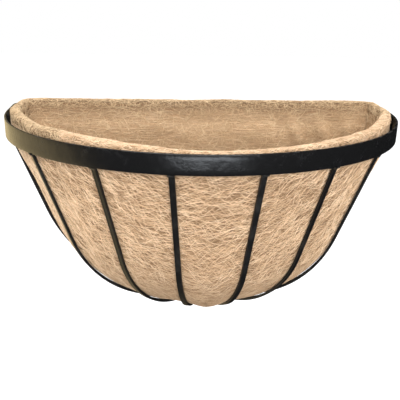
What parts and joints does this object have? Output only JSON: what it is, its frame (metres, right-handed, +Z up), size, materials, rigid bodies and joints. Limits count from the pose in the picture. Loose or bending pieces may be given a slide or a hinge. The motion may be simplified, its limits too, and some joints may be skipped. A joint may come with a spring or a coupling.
{
  "type": "half-round wall basket",
  "caption": "Half-round wall basket: a welded flat-bar frame with a D-shaped rim band and bowed ribs, holding a lift-out moulded coir liner.",
  "frame": {"origin": "midway between the two wall screw holes, on the rear face of the hoop's back bar", "axes": "+X along the wall, to the right for someone facing the basket; +Y into the wall, so the front faces -Y; +Z up"},
  "size_m": [0.61, 0.311, 0.3119],
  "materials": {
    "band_paint": "gloss black paint on flat steel bar",
    "rib_paint": "satin black paint on flat steel bar",
    "weld_paint": "black paint over rough weld beads",
    "coir": "pressed coconut fibre bound with latex, rough and matt"
  },
  "bodies": {
    "frame": {"rim_hoop": "band_paint", "rib_1": "rib_paint", "rib_2": "rib_paint", "rib_3": "rib_paint", "rib_4": "rib_paint", "rib_5": "rib_paint", "rib_6": "rib_paint", "rib_7": "rib_paint", "rib_8": "rib_paint", "back_rib_left": "rib_paint", "back_rib_centre": "rib_paint", "back_rib_right": "rib_paint", "hub_plate": "rib_paint", "rim_welds": "weld_paint", "hub_welds": "weld_paint", "back_welds": "weld_paint", "hoop_seam_weld": "weld_paint"},
    "liner": {"coir_liner": "coir"}
  },
  "joints": [
    {"name": "liner_lift", "type": "slide", "parent": "frame", "child": "liner", "axis": [0, 0, 1], "range_m": [0, 0.32]}
  ]
}
